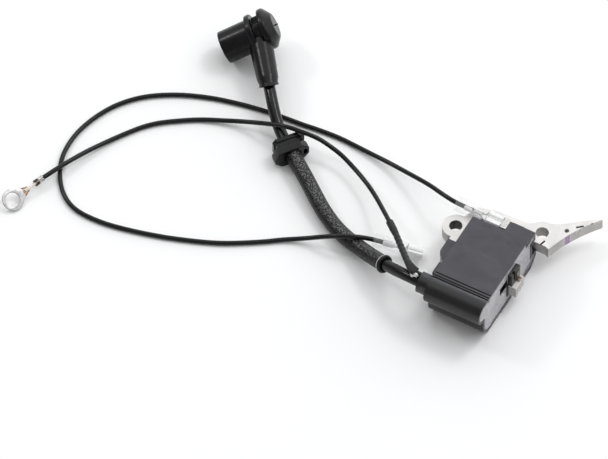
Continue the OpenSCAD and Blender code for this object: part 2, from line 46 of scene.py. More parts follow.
# Centre lines of the three cords, as the CAD source has them, in metres
LEAD_ROUTE = [
    (.002, -.0315, .0185), (-.009, -.0315, .0185), (-.020, -.0315, .0185), (-.027, -.0306, .0174),
    (-.0335, -.0286, .0146), (-.0404, -.026, .0113), (-.0484, -.0227, .0078),
    (-.056, -.0194, .0052),
    (-.0634, -.017, .004), (-.0717, -.0133, .0038), (-.0805, -.0076, .004), (-.0851, -.0041, .0046),
    (-.089, -.001, .005), (-.093, .002, .005), (-.097, .005, .005), (-.101, .008, .005),
    (-.105, .011, .005), (-.109, .014, .005), (-.113, .017, .005), (-.1174, .0212, .0066),
    (-.1215, .0259, .0089), (-.12425, .02935, .0094), (-.127, .0328, .0099),
    (-.12975, .03625, .0104), (-.1325, .0397, .0109), (-.13525, .04315, .0114),
]
EARTH_ROUTE = [
    (-.020, -.030, .0214), (-.023, -.0306, .0222), (-.0265, -.0286, .022), (-.030, -.0252, .0203),
    (-.0345, -.0204, .018), (-.041, -.0135, .0155), (-.0478, -.007, .013), (-.0544, -.0009, .0105),
    (-.061, .0049, .0084), (-.068, .010, .007), (-.0765, .0147, .0064), (-.0842, .0179, .0068),
    (-.0903, .0189, .008), (-.0962, .0189, .0098), (-.104, .0175, .0114), (-.111, .0172, .0107),
    (-.118, .0167, .0082), (-.1245, .0163, .0055), (-.131, .0153, .0033), (-.139, .0128, .0018),
    (-.147, .0095, .0011), (-.154, .0051, .001), (-.161, 0, .001), (-.166, -.005, .001),
    (-.1703, -.011, .001), (-.1753, -.0192, .0013), (-.1804, -.0294, .0024),
    (-.185, -.0404, .0034), (-.189, -.0502, .0034),
]
STOP_ROUTE = [
    (-.0205, .014, .0147), (-.024, .014, .0147), (-.0275, .014, .0147), (-.034, .0156, .0137),
    (-.043, .0191, .011), (-.052, .0223, .0075), (-.060, .0247, .0049), (-.068, .0266, .003),
    (-.076, .0278, .0018), (-.084, .0287, .0012), (-.092, .0292, .001), (-.1007, .0287, .001),
    (-.1094, .0278, .001), (-.1164, .0274, .001), (-.1235, .0268, .001), (-.1301, .0258, .001),
    (-.1369, .0246, .001), (-.1487, .0216, .001), (-.1604, .017, .001), (-.1706, .0109, .001),
    (-.1777, .0044, .001), (-.1831, -.0034, .001), (-.1871, -.0131, .001), (-.1891, -.0232, .001),
    (-.1886, -.0334, .001), (-.1862, -.0407, .001), (-.1824, -.0473, .001), (-.1766, -.0533, .001),
    (-.1692, -.0567, .001), (-.1589, -.0572, .001), (-.1491, -.0559, .001), (-.1364, -.0529, .001),
    (-.124, -.049, .001), (-.1086, -.0427, .001), (-.0944, -.0342, .001), (-.0868, -.0289, .0012),
    (-.0803, -.0256, .0022), (-.0742, -.0235, .0046), (-.0682, -.0221, .0076),
    (-.0638, -.0211, .0095), (-.0605, -.0199, .0101), (-.0565, -.0176, .0095),
    (-.0514, -.0144, .0072), (-.0446, -.01245, .006),
]
LEAD_RADIUS = 0.0025
SLEEVE_RADIUS = 0.0035
WIRE_RADIUS = 0.001
SLEEVE_STATIONS = (5, 17)
SHRINK_STATIONS = (1, 6)
SLEEVE_LINING = SLEEVE_RADIUS - 0.0004
YARN_RADIUS = SLEEVE_RADIUS - 0.00018

# Places that the CAD source names
FACE_X = 0.01035
CORE_TOP = 0.012
CORE_BASE = 0.006
SHEET = .0003
POCKET_X = .0078
FRONT_Y = -.0308
GROOVES_Y = -.0283
GROOVES_REACH = .0022
GROOVES_ABOVE = .0215
# Painted stripe on the pole shoe and how far its edges wander
STRIPE_Y = (.0219, .0243)
STRIPE_X = .0165
STRIPE_WOBBLE = .0009
GROMMET_AT = (-.105, .011, .005)
GROMMET_DIR = (-.8, .6, 0)
GROMMET_STATIONS = (-.0033, .0005, .0025, .0045)
LEFT_BOLT_HOLE = (-.0232, .0053)
BOLT_HOLE_RADIUS = .00275
BOOT_AT = (-.1435, .0535, .0129)
STEM_DIR = (-5.5, 6.9, 1)
STEM_LENGTH = 0.02664
# The stem's end is cut on a slant, longer on this side
STEM_UPPER_SIDE = (.29, -.52, .8)
STEM_SLANT = 0.62
BOOT_VOXEL = 0.00017
MOUTH = .016
LAMINATIONS = 12
BOOT_ROLL = 67.5
BOOT_ANGLE = 95.5
BLADE_CONNECTOR = ((-.0275, .014, .0147), (1, 0, 0), 0)
FREE_CONNECTOR = ((-.0514, -.0144, .0072), (6.8, 1.95, -1.2), -20)
RING_AT = (-.1943, -.066, .0034)
TAIL_DIR = (5.3, 15.8, 0)
RING_LEAN = 28


# -------------------- geometry

def spline(points, step):
    """Smooth line through the points, with a point about every step."""
    p = np.array(points, float)
    ext = np.vstack([2 * p[0] - p[1], p, 2 * p[-1] - p[-2]])
    out = []
    for a, b, c, d in zip(ext, ext[1:], ext[2:], ext[3:]):
        n = max(2, round(np.linalg.norm(c - b) / step))
        t = (np.arange(n) / n)[:, None]
        out.append(0.5 * (2 * b + (c - a) * t + (2 * a - 5 * b + 4 * c - d) * t ** 2
                          + (3 * b - a - 3 * c + d) * t ** 3))
    return np.vstack([*out, p[-1:]])


def relaxed(line, reach):
    """The line with wobbles shorter than reach taken out and its ends kept."""
    line = line.copy()
    step = np.linalg.norm(np.diff(line, axis=0), axis=1).mean()
    for _ in range(round(2 * (reach / step) ** 2)):
        line[1:-1] = 0.25 * line[:-2] + 0.5 * line[1:-1] + 0.25 * line[2:]
    return line


def unit(v):
    return v / np.linalg.norm(v, axis=-1, keepdims=True)


def frames(line):
    """Direction, side and up vectors at each point of a line."""
    t = unit(np.gradient(line, axis=0))
    side = unit(np.cross(t, UP))
    return t, side, np.cross(side, t)


def distance_along(line):
    steps = np.linalg.norm(np.diff(line, axis=0), axis=1)
    return np.concatenate([[0], np.cumsum(steps)])


def loft(rings, closed=True, caps=True):
    """Points and faces of a skin over rings of the same number of points."""
    rings = np.asarray(rings, float)
    n, k, _ = rings.shape
    last = k if closed else k - 1
    faces = [
        (i * k + j, i * k + (j + 1) % k, (i + 1) * k + (j + 1) % k, (i + 1) * k + j)
        for i in range(n - 1) for j in range(last)
    ]
    if caps:
        faces.append(tuple(reversed(range(k))))
        faces.append(tuple(range((n - 1) * k, n * k)))
    return rings.reshape(-1, 3), faces


def tube(line, radius, sides=24):
    """Round skin along a line; radius is a number or an array with one row per point."""
    _, side, up = frames(line)
    turn = np.arange(sides) * 2 * math.pi / sides
    r = np.broadcast_to(np.asarray(radius, float).reshape(-1, 1) if np.ndim(radius) < 2
                        else radius, (len(line), sides))
    around = (np.cos(turn)[None, :, None] * side[:, None]
              + np.sin(turn)[None, :, None] * up[:, None])
    return loft(line[:, None] + r[..., None] * around)


def lathe(profile, sides=96):
    """Skin of revolution about Z from (radius, height) pairs, which may end on the axis."""
    turn = np.arange(sides) * 2 * math.pi / sides
    rings = [[(r * math.cos(a), r * math.sin(a), h) for a in turn] for r, h in profile]
    return loft(rings, caps=False)


def round_corners(profile, radius, steps=4):
    """The profile with each inner corner replaced by a short curve."""
    p = [np.array(q, float) for q in profile]
    out = [p[0]]
    for a, b, c in zip(p, p[1:], p[2:]):
        cut = min(radius, 0.45 * np.linalg.norm(b - a), 0.45 * np.linalg.norm(c - b))
        start, end = b + cut * unit(a - b), b + cut * unit(c - b)
        for t in np.linspace(0, 1, steps + 1):
            out.append((1 - t) ** 2 * start + 2 * t * (1 - t) * b + t ** 2 * end)
    return [tuple(q) for q in [*out, p[-1]]]


def slab(loops, layers):
    """Closed solid over flat loops, the outer one anticlockwise and holes clockwise.
    layers are (height, inset) pairs from the bottom up."""
    flat = [np.array(loop, float) for loop in loops]
    inward = []
    for loop in flat:
        edge = np.roll(loop, -1, 0) - loop
        normal = unit(np.stack([-edge[:, 1], edge[:, 0]], 1))
        mean = normal + np.roll(normal, 1, 0)
        inward.append(mean / np.maximum((mean ** 2).sum(1, keepdims=True) / 2, 0.3))
    base, into = np.vstack(flat), np.vstack(inward)
    count = len(base)
    verts = np.vstack([np.column_stack([base + into * inset, np.full(count, h)])
                       for h, inset in layers])
    cap = geometry.tessellate_polygon([[Vector((x, y, 0)) for x, y in loop] for loop in flat])
    faces = []
    for a, b, c in cap:
        ab, ac = base[b] - base[a], base[c] - base[a]
        if ab[0] * ac[1] - ab[1] * ac[0] < 0:
            b, c = c, b
        faces.append((a, c, b))
        top = (len(layers) - 1) * count
        faces.append((a + top, b + top, c + top))
    start = 0
    for loop in flat:
        n = len(loop)
        for level in range(len(layers) - 1):
            for j in range(n):
                a, b = level * count + start + j, level * count + start + (j + 1) % n
                faces.append((a, b, b + count, a + count))
        start += n
    return verts, faces


def soft_edges(low, high, radius, steps=3):
    """Layers for slab() whose rims are rounded by radius."""
    turn = np.linspace(0, math.pi / 2, steps + 1)
    bottom = [(low + radius * (1 - math.sin(a)), radius * (1 - math.cos(a))) for a in turn[::-1]]
    top = [(high - radius * (1 - math.sin(a)), radius * (1 - math.cos(a))) for a in turn]
    return bottom + top


def arc(centre, radius, first, last, count):
    """Points on an arc, with angles in degrees."""
    turn = np.radians(np.linspace(first, last, count))
    return [(centre[0] + radius * math.cos(a), centre[1] + radius * math.sin(a)) for a in turn]


def hole(centre, radius, count=48):
    return arc(centre, radius, 360, 0, count + 1)[:-1]


def joined(*parts):
    """One set of points and faces from several."""
    verts, faces, start = [], [], 0
    for v, f in parts:
        verts.append(np.asarray(v, float))
        faces += [tuple(i + start for i in face) for face in f]
        start += len(v)
    return np.vstack(verts), faces


def placed(part, matrix):
    verts, faces = part
    m = np.array(matrix)
    return np.asarray(verts) @ m[:3, :3].T + m[:3, 3], faces


def along(point, direction):
    """Matrix that puts +X onto direction at point and keeps Z as upright as it can."""
    d = Vector(direction).normalized()
    turn = Matrix.Rotation(math.atan2(d.y, d.x), 4, "Z") @ Matrix.Rotation(-math.asin(d.z), 4, "Y")
    return Matrix.Translation(point) @ turn


def spin(degrees, axis):
    return Matrix.Rotation(math.radians(degrees), 4, axis)


# Turns a solid made along +Z to lie along +X
Z_TO_X = spin(90, "Y") @ spin(90, "Z")


def piece(name, part, material, body, stands_for=(), sharp=35):
    """Adds a mesh, given in the frame's own axes, as a piece that rides on a body."""
    verts, faces = part
    mesh = bpy.data.meshes.new(name)
    mesh.from_pydata([tuple(v) for v in verts], [], faces)
    bm = bmesh.new()
    bm.from_mesh(mesh)
    bmesh.ops.remove_doubles(bm, verts=bm.verts, dist=WELD)
    bmesh.ops.recalc_face_normals(bm, faces=bm.faces)
    bm.to_mesh(mesh)
    bm.free()
    return finished(name, mesh, material, body, stands_for, sharp)


def finished(name, mesh, material, body, stands_for=(), sharp=35):
    """Shades a mesh, puts it in the scene on its body and hides the CAD nodes it stands for."""
    mesh.shade_smooth()
    mesh.set_sharp_from_angle(angle=math.radians(sharp))
    mesh.materials.append(material)
    obj = bpy.data.objects.new(name, mesh)
    bpy.context.scene.collection.objects.link(obj)
    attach(obj, body)
    if stands_for:
        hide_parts(*stands_for)
    return obj


def welded(node):
    """Bmesh of a CAD node with its split points joined."""
    bm = bmesh.new()
    bm.from_mesh(nodes[node].data)
    bmesh.ops.remove_doubles(bm, verts=bm.verts, dist=WELD)
    return bm


def rounded_copy(node, radius, fine=None, fine_radius=0.0):
    """Mesh of a CAD node with its sharp edges rounded, those that fine() picks by less."""
    bm = welded(node)
    bmesh.ops.dissolve_limit(bm, angle_limit=math.radians(0.5), verts=bm.verts, edges=bm.edges)

    def sharp(edge):
        return edge.is_manifold and edge.calc_face_angle(0) > math.radians(25)

    def picked(edge):
        return fine is not None and fine((edge.verts[0].co + edge.verts[1].co) / 2)

    small = [e for e in bm.edges if sharp(e) and picked(e)]
    for edges, size in ((small, fine_radius), (None, radius)):
        if edges is None:
            edges = [e for e in bm.edges if sharp(e) and not picked(e)]
        if edges:
            bmesh.ops.bevel(bm, geom=edges, offset=size, segments=3, profile=0.5,
                            affect="EDGES", clamp_overlap=True, loop_slide=True)
    bmesh.ops.remove_doubles(bm, verts=bm.verts, dist=1e-6)
    mesh = bpy.data.meshes.new(node + "_rounded")
    bm.to_mesh(mesh)
    bm.free()
    return mesh


def outline(node, height, facing):
    """Loops around the flat faces of a CAD node at one height."""
    bm = welded(node)
    flat = {f for f in bm.faces if f.normal.z * facing > 0.99
            and all(abs(v.co.z - height) < 2e-5 for v in f.verts)}
    follows = {}
    for f in flat:
        for loop in f.loops:
            if sum(g in flat for g in loop.edge.link_faces) == 1:
                follows[loop.vert.index] = loop.link_loop_next.vert.index
    spots = {v.index: (v.co.x, v.co.y) for v in bm.verts}
    bm.free()
    loops = []
    while follows:
        start = next(iter(follows))
        chain = [start]
        at = follows.pop(start)
        while at != start:
            chain.append(at)
            at = follows.pop(at)
        loops.append([spots[i] for i in (chain if facing > 0 else reversed(chain))])
    return sorted(loops, key=lambda q: -abs(area(q)))


def area(loop):
    p = np.array(loop)
    q = np.roll(p, -1, 0)
    return 0.5 * float((p[:, 0] * q[:, 1] - q[:, 0] * p[:, 1]).sum())


# -------------------- materials

def grey(value, warm=0.0):
    """Linear colour of an 8-bit grey, with a small shift from blue to red."""
    return tuple(linear(value + shift) for shift in (warm, 0, -warm)) + (1,)


def rgb(r, g, b):
    return linear(r), linear(g), linear(b), 1


def linear(value):
    c = max(0, value) / 255
    return c / 12.92 if c <= 0.04045 else ((c + 0.055) / 1.055) ** 2.4


class Finish:
    """Builds one procedural material on a Principled shader."""

    def __init__(self, name, **values):
        self.material = bpy.data.materials.new(name)
        self.material.use_nodes = True
        self.tree = self.material.node_tree
        self.shader = self.tree.nodes["Principled BSDF"]
        for key, value in values.items():
            self.shader.inputs[key.replace("_", " ")].default_value = value
        self.place = self.add("TexCoord").outputs["Object"]

    def add(self, kind, settings=None, **inputs):
        made = self.tree.nodes.new("ShaderNode" + kind)
        for key, value in (settings or {}).items():
            setattr(made, key, value)
        for key, value in inputs.items():
            socket = made.inputs[key.replace("_", " ")]
            if isinstance(value, bpy.types.NodeSocket):
                self.tree.links.new(value, socket)
            else:
                socket.default_value = value
        return made

    def stretched(self, scale):
        return self.add("Mapping", Vector=self.place, Scale=scale).outputs["Vector"]

    def noise(self, scale, detail=3.0, stretch=(1, 1, 1), distortion=0.0):
        """Noise whose features are about 1 / scale metres across."""
        made = self.add("TexNoise", Vector=self.stretched(stretch), Scale=scale, Detail=detail,
                        Distortion=distortion)
        return made.outputs["Fac"]

    def bands(self, scale, axis, distortion=0.0):
        made = self.add("TexWave", {"bands_direction": axis}, Vector=self.place, Scale=scale,
                        Distortion=distortion)
        return made.outputs["Fac"]

    def ramp(self, fac, *stops):
        made = self.add("ValToRGB", Fac=fac)
        spots = made.color_ramp.elements
        while len(spots) < len(stops):
            spots.new(0.5)
        for spot, (position, colour) in zip(spots, stops):
            spot.position = position
            spot.color = colour if hasattr(colour, "__len__") else (colour,) * 3 + (1,)
        return made.outputs["Color"]

    def math(self, operation, a, b):
        made = self.add("Math", {"operation": operation})
        for socket, value in zip(made.inputs, (a, b)):
            if isinstance(value, bpy.types.NodeSocket):
                self.tree.links.new(value, socket)
            else:
                socket.default_value = value
        return made.outputs[0]

    def mix(self, fac, a, b):
        made = self.add("Mix", {"data_type": "RGBA"})
        for index, value in ((0, fac), (6, a), (7, b)):
            if isinstance(value, bpy.types.NodeSocket):
                self.tree.links.new(value, made.inputs[index])
            else:
                made.inputs[index].default_value = value
        return made.outputs[2]

    def set(self, socket, value):
        self.tree.links.new(value, self.shader.inputs[socket])
        return self

    def spread(self, socket, noise, low, high):
        """Sets a socket from low to high over the middle of a noise."""
        return self.set(socket, self.ramp(noise, (0.3, low), (0.7, high)))

    def bump(self, height, depth):
        """Relief of that depth in metres."""
        made = self.add("Bump", Height=height, Distance=depth, Strength=1.0)
        return self.set("Normal", made.outputs["Normal"])


def steel_finish():
    """Punched silicon steel: warm grey, brushed flats, faint specks, painted shade in the sunk marks
    and the bolt hole, and a paint stripe.
    """
    f = Finish("lamination_steel", Metallic=0.35, IOR=1.6)
    cloud = f.noise(160, 4)
    tint = f.ramp(cloud, (0.3, grey(206, 2)), (0.7, grey(226, 3)))
    specks = f.ramp(f.noise(1500, 3), (0.68, 0.0), (0.78, 1.0))
    marked = f.mix(f.math("MULTIPLY", specks, 0.18), tint, rgb(140, 122, 100))
    spot = f.add("SeparateXYZ", Vector=f.place).outputs
    wobble = f.math("MULTIPLY", f.math("SUBTRACT", f.noise(900, 2), 0.5), STRIPE_WOBBLE)
    across = f.math("ADD", spot["Y"], wobble)
    after = f.math("GREATER_THAN", across, STRIPE_Y[0])
    before = f.math("LESS_THAN", across, STRIPE_Y[1])
    right = f.math("GREATER_THAN", spot["X"], STRIPE_X)
    facing = f.add("SeparateXYZ", Vector=f.add("NewGeometry").outputs["True Normal"]).outputs
    wall = f.math("GREATER_THAN", facing["X"], 0.5)
    stripe = f.math("MULTIPLY", f.math("MULTIPLY", after, before), f.math("MULTIPLY", right, wall))
    thin = f.math("MULTIPLY", stripe, f.ramp(f.noise(700, 3), (0.3, 0.62), (0.6, 0.95)))
    # Painted shade: upward faces below the top sheet, the floors of the sunk marks and holes, are
    # darkened as shade in the recesses.
    sunk = f.math("MULTIPLY", f.math("LESS_THAN", spot["Z"], CORE_TOP - .0003),
                  f.math("GREATER_THAN", facing["Z"], 0.5))
    away = f.add("VectorMath", {"operation": "DISTANCE"})
    flat = f.add("CombineXYZ", X=spot["X"], Y=spot["Y"]).outputs["Vector"]
    f.tree.links.new(flat, away.inputs[0])
    away.inputs[1].default_value = (*LEFT_BOLT_HOLE, 0)
    # Painted shade: the wall of the left bolt hole is darkened, broken up by noise, as shade inside
    # the hole.
    bored = f.math("MULTIPLY", f.math("LESS_THAN", away.outputs["Value"], BOLT_HOLE_RADIUS + .0002),
                   f.math("LESS_THAN", facing["Z"], 0.5))
    bore_shade_noise = f.ramp(f.noise(1300, 3, (1, 1, .25)), (0.35, 0.9), (0.65, 0.6))
    bore_shade = f.math("MULTIPLY", bored, bore_shade_noise)
    # The dark colour below is painted shade in the sunk marks and the bolt hole.
    dark = f.math("MAXIMUM", sunk, bore_shade)
    painted = f.mix(thin, marked, rgb(196, 160, 208))
    f.set("Base Color", f.mix(dark, painted, rgb(40, 36, 32)))
    f.spread("Roughness", f.noise(420, 3, (1, 6, 1)), 0.42, 0.58)
    f.bump(f.noise(2600, 3, (1, 5, 1)), 0.000008)
    return f.material


def plastic_finish():
    """Glass filled nylon: satin dark grey with flow marks and a fine moulded grain; the front is
    painted near black as a painted reflection of the dark surround.
    """
    f = Finish("housing_plastic", Specular_IOR_Level=0.5)
    flow = f.noise(70, 4, (1, 1.6, 1), 1.2)
    dull = f.ramp(flow, (0.3, rgb(52, 51, 57)), (0.7, rgb(66, 65, 71)))
    spot = f.add("SeparateXYZ", Vector=f.place).outputs
    # Painted reflection: everything in front of FRONT_Y is coloured near black, standing for the dark
    # surround that the front's gloss reflects.
    front = f.math("LESS_THAN", spot["Y"], FRONT_Y)
    f.set("Base Color", f.mix(front, dull, rgb(16, 16, 18)))
    f.spread("Roughness", f.noise(200, 4), 0.27, 0.4)
    f.bump(f.noise(3800, 3), 0.00001)
    return f.material


def epoxy_finish():
    """Potting resin: smooth glossy lilac grey with slow clouds, painted black inside the coil's
    pocket as shade in the recess.
    """
    f = Finish("potting_epoxy", Coat_Weight=0.4, Coat_Roughness=0.1)
    cloud = f.noise(90, 2, (1, 1, 1.4), 0.4)
    tint = f.ramp(cloud, (0.3, rgb(156, 155, 160)), (0.7, rgb(172, 171, 176)))
    spot = f.add("SeparateXYZ", Vector=f.place).outputs
    # Painted shade: the resin's walls inside the pocket, between POCKET_X and the face, are coloured
    # near black as shade in the recess.
    deep = f.math("LESS_THAN", spot["X"], FACE_X - .0003)
    pocket = f.math("MULTIPLY", deep, f.math("GREATER_THAN", spot["X"], POCKET_X))
    f.set("Base Color", f.mix(pocket, tint, grey(12)))
    f.spread("Roughness", f.noise(180, 2), 0.18, 0.3)
    f.bump(f.noise(160, 2), 0.00003)
    return f.material


def jacket_finish(name, low, high, rough, grain=1700):
    """Extruded rubber or PVC: near black, with drag lines and soft smudges."""
    f = Finish(name, Specular_IOR_Level=0.3)
    f.spread("Base Color", f.noise(330, 4), grey(low), grey(high))
    f.spread("Roughness", f.noise(520, 4), rough - 0.07, rough + 0.08)
    f.bump(f.noise(grain, 3), 0.00002)
    return f.material


def rubber_finish():
    """Moulded boot rubber: satin black with a bloom and a fine skin."""
    f = Finish("moulded_rubber", Specular_IOR_Level=0.28)
    bloom = f.noise(240, 5, (1, 1, 1), 0.8)
    f.set("Base Color", f.ramp(bloom, (0.35, rgb(6, 6, 8)), (0.75, rgb(17, 17, 20))))
    f.spread("Roughness", f.noise(420, 4), 0.2, 0.33)
    f.bump(f.noise(2300, 4), 0.000015)
    return f.material


def braid_finish():
    """Varnished glass yarn: black, with light flecks painted on the upward side as glints of the
    highlight.
    """
    f = Finish("braided_sleeve", Specular_IOR_Level=0.3)
    facing = f.add("SeparateXYZ", Vector=f.add("NewGeometry").outputs["Normal"]).outputs["Z"]
    # Painted highlight: light grey flecks on faces turned upward stand for the glints in the sleeve's
    # highlight band.
    top_glint_mask = f.ramp(facing, (0.72, 0.12), (0.9, 1.0))
    painted_glint = f.math("MULTIPLY", f.ramp(f.noise(1700, 4), (0.5, 0.0), (0.6, 1.0)), top_glint_mask)
    f.set("Base Color", f.mix(painted_glint, grey(11), grey(112)))
    f.set("Roughness", f.ramp(f.noise(1500, 2), (0.35, 0.2), (0.65, 0.36)))
    f.bump(f.noise(2200, 3), 0.00006)
    return f.material


def tin_finish(name="tinned_metal", low=176, high=214, rough=0.3):
    """Tinned brass strip with rolling lines and small dull patches."""
    f = Finish(name, Metallic=0.9)
    f.spread("Base Color", f.noise(600, 4), grey(low, 2), grey(high, 1))
    f.spread("Roughness", f.noise(900, 3, (1, 7, 1)), rough - 0.08, rough + 0.12)
    f.bump(f.noise(2600, 2, (1, 8, 1)), 0.00001)
    return f.material


def metal_finish(name, low, high, rough=0.35):
    f = Finish(name, Metallic=0.9)
    f.spread("Base Color", f.noise(900, 4), low, high)
    f.spread("Roughness", f.noise(1300, 3), rough - 0.1, rough + 0.15)
    f.bump(f.noise(2600, 3), 0.00002)
    return f.material


def winding_finish(name, low, high, turns):
    """Enamelled wire in close turns along X."""
    f = Finish(name, Metallic=0.6, Coat_Weight=0.4)
    wires = f.bands(turns, "X", 0.4)
    f.set("Base Color", f.mix(f.ramp(wires, (0.1, 0.0), (0.5, 1.0)), low, high))
    f.spread("Roughness", f.noise(500, 3), 0.25, 0.4)
    f.bump(wires, 0.00006)
    return f.material


def body_finish(name, low, high, rough=0.45, scale=900, depth=0.00002, metallic=0.0):
    """Plain moulded or cast stock with a mottled colour and a fine grain."""
    f = Finish(name, Metallic=metallic)
    f.spread("Base Color", f.noise(scale, 4), low, high)
    f.spread("Roughness", f.noise(scale * 1.7, 3), rough - 0.1, rough + 0.1)
    f.bump(f.noise(scale * 3, 3), depth)
    return f.material


def clear_finish(name, tint, cover, rough):
    """Thin clear vinyl: mostly see-through, milky where it is thick."""
    f = Finish(name, IOR=1.4, Alpha=cover, Specular_IOR_Level=0.35)
    f.spread("Base Color", f.noise(300, 3), grey(tint - 8), grey(tint))
    f.spread("Roughness", f.noise(800, 3), rough, rough + 0.15)
    f.bump(f.noise(900, 2), 0.00002)
    return f.material


def resin_drop_finish():
    """Hardened clear resin with an uneven skin, coloured near white as a painted highlight."""
    f = Finish("resin_drop", Transmission_Weight=0.2, IOR=1.5)
    # Painted highlight: the drop's near-white colour stands for the white highlight on the clear
    # resin.
    f.spread("Base Color", f.noise(1400, 3), grey(226), grey(250))
    f.spread("Roughness", f.noise(1900, 3), 0.08, 0.3)
    f.bump(f.noise(1600, 2), 0.00005)
    return f.material


STEEL = steel_finish()
PLASTIC = plastic_finish()
EPOXY = epoxy_finish()
LEAD_BLACK = jacket_finish("lead_jacket", 7, 14, 0.2)
WIRE_BLACK = jacket_finish("wire_jacket", 7, 16, 0.24)
SHRINK_BLACK = jacket_finish("shrink_sleeve", 16, 30, 0.38, 2400)
RUBBER = rubber_finish()
BRAID = braid_finish()
TIN = tin_finish()
DULL_TIN = tin_finish("dull_tin", 164, 202, 0.36)
BRONZE = metal_finish("contact_bronze", rgb(74, 64, 56), rgb(140, 128, 116), 0.3)
BRASS = metal_finish("pin_brass", rgb(180, 140, 70), rgb(212, 176, 100))
SPRING = metal_finish("spring_steel", grey(120), grey(165), 0.3)
COLLAR_BLACK = body_finish("bobbin_black", grey(24), grey(44), 0.42)
CLEAR = clear_finish("clear_sleeve", 253, 0.06, 0.1)
# Painted reflection: the push-on terminals and ring rails get a near-white, barely metallic colour
# that stands for the glare of the brightly lit tin.
BRIGHT_TIN = body_finish("bright_tin", grey(236), grey(252), 0.38, 700, 0.00001, 0.1)
SCORCHED = body_finish("scorched_crimp", rgb(34, 28, 20), rgb(74, 60, 42), 0.35, 1500, 0.00002, 0.4)
RESIN = resin_drop_finish()


# -------------------- camera, floor and light

AZIMUTH = math.radians(28.8)
ELEVATION = math.radians(53.5)
LOOK_AT = Vector((-.0818, -.0191, 0))
DISTANCE = 6.0
VIEW_WIDTH = 0.2533
SENSOR = 36.0
SKY_AXIS = (.05, .68, .73)
SKY_STRENGTH = 1.3


def make_camera():
    """Long lens from the front right, high above the table."""
    back = Vector((math.sin(AZIMUTH) * math.cos(ELEVATION),
                   -math.cos(AZIMUTH) * math.cos(ELEVATION), math.sin(ELEVATION)))
    data = bpy.data.cameras.new("camera")
    data.sensor_width = SENSOR
    data.lens = SENSOR * DISTANCE / VIEW_WIDTH
    data.clip_start, data.clip_end = 0.1, 100
    camera = bpy.data.objects.new("camera", data)
    camera.location = LOOK_AT + back * DISTANCE
    camera.rotation_euler = (-back).to_track_quat("-Z", "Y").to_euler()
    bpy.context.scene.collection.objects.link(camera)
    bpy.context.scene.camera = camera


def area_light(name, size, energy, place, target=(-.08, -.01, 0)):
    data = bpy.data.lights.new(name, "AREA")
    data.shape, data.size, data.energy = "DISK", size, energy
    lamp = bpy.data.objects.new(name, data)
    lamp.location = place
    lamp.rotation_euler = (Vector(target) - Vector(place)).to_track_quat("-Z", "Y").to_euler()
    bpy.context.scene.collection.objects.link(lamp)


def make_sky():
    """Bright at the back and overhead, darker low down in front, to give dark gloss its shape."""
    world = bpy.data.worlds.new("surround")
    bpy.context.scene.world = world
    world.use_nodes = True
    tree = world.node_tree
    place = tree.nodes.new("ShaderNodeTexCoord")
    toward = tree.nodes.new("ShaderNodeVectorMath")
    toward.operation = "DOT_PRODUCT"
    toward.inputs[1].default_value = Vector(SKY_AXIS).normalized()
    tree.links.new(place.outputs["Generated"], toward.inputs[0])
    ramp = tree.nodes.new("ShaderNodeValToRGB")
    tree.links.new(toward.outputs["Value"], ramp.inputs["Fac"])
    low, high = ramp.color_ramp.elements
    low.position, low.color = 0.32, (0.27, 0.27, 0.275, 1)
    high.position, high.color = 0.64, (0.985, 0.992, 1, 1)
    sky = tree.nodes["Background"]
    tree.links.new(ramp.outputs["Color"], sky.inputs["Color"])
    sky.inputs["Strength"].default_value = SKY_STRENGTH


def make_studio():
    """Pale floor, a key from behind on the right, a small lamp on the left and a graded sky."""
    f = Finish("floor", Roughness=0.7, Specular_IOR_Level=0.2)
    f.spread("Base Color", f.noise(6, 2), grey(247), grey(249))
    half = 12
    mesh = bpy.data.meshes.new("floor")
    mesh.from_pydata([(-half, -half, 0), (half, -half, 0), (half, half, 0), (-half, half, 0)], [],
                     [(0, 1, 2, 3)])
    mesh.materials.append(f.material)
    floor = bpy.data.objects.new("floor", mesh)
    floor.location.z = -0.00005
    bpy.context.scene.collection.objects.link(floor)
    area_light("key", 0.4, 3.5, (.25, .75, 1.25))
    area_light("left_streak", 0.22, 2.2, (-1.1, -.05, .95))
    make_sky()
    bpy.context.scene.view_settings.view_transform = "Standard"


make_camera()
make_studio()


# -------------------- cords and what is on them

lead_line = relaxed(spline(LEAD_ROUTE, 0.001), 0.005)
earth_line = relaxed(spline(EARTH_ROUTE, 0.0008), 0.002)
stop_line = relaxed(spline(STOP_ROUTE, 0.0008), 0.002)


def stretch_between(line, route, stations, step):
    """The part of a cord's line between two of its route's points, with a finer step."""
    first, last = [int(np.argmin(np.linalg.norm(line - np.array(route[i]), axis=1)))
                   for i in stations]
    return spline(line[first:last + 1], step)


def cord_piece(name, line, radius, material, node, sides):
    return piece(name, tube(line, radius, sides), material, "module", [node], sharp=60)


lead = cord_piece("high_tension_cable", lead_line, LEAD_RADIUS, LEAD_BLACK,
                  "high_tension_lead", 40)
earth = cord_piece("earth_cable", earth_line, WIRE_RADIUS, WIRE_BLACK,
                   "earth_wire", 20)
stop = cord_piece("stop_cable", stop_line, WIRE_RADIUS, WIRE_BLACK,
                  "stop_wire", 20)


